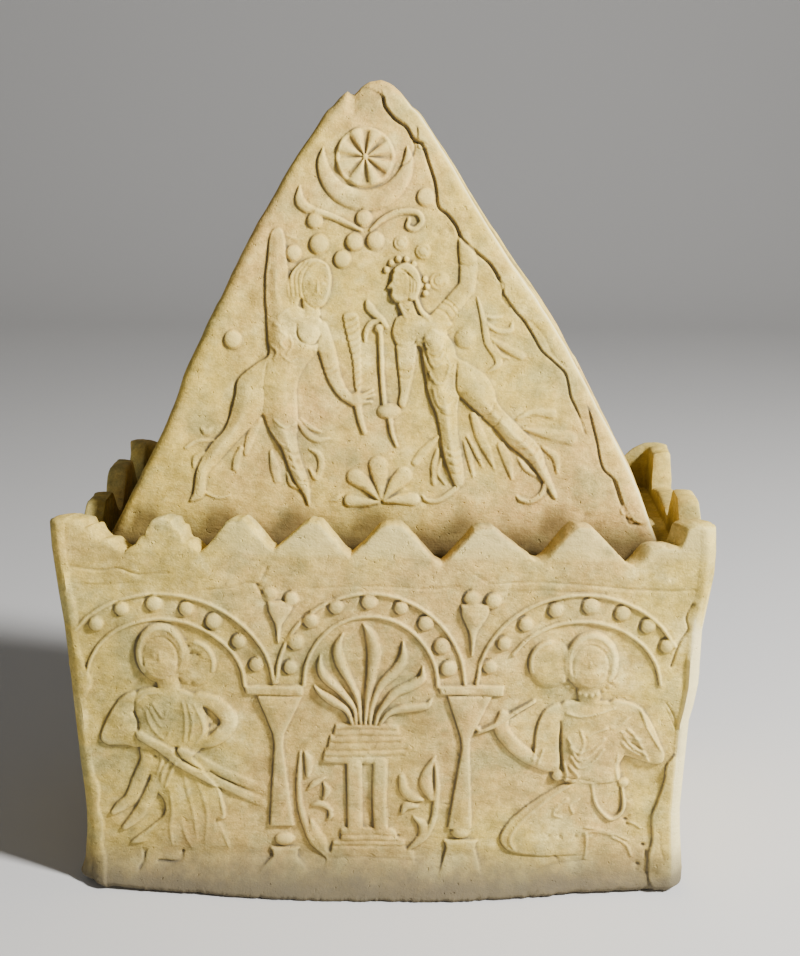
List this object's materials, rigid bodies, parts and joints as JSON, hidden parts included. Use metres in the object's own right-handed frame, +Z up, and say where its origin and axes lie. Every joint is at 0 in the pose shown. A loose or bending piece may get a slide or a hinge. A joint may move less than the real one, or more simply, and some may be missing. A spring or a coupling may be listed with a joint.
{
  "type": "ossuary with pyramid lid",
  "caption": "Fired clay ossuary: a flared rectangular box with a crenellated rim and arcade relief, under a loose hollow pyramid lid with dancing figures.",
  "frame": {"origin": "middle of the flat underside of the box", "axes": "+X to the right along the long side, +Y from the figured front to the back, +Z up"},
  "size_m": [0.5586, 0.3047, 0.7015],
  "materials": {
    "box_clay": "unglazed, buff, dry and slightly gritty",
    "lid_clay": "unglazed, buff, dry and slightly gritty"
  },
  "bodies": {
    "root": {"ossuary_box": "box_clay", "pyramid_lid": "lid_clay"}
  },
  "joints": []
}
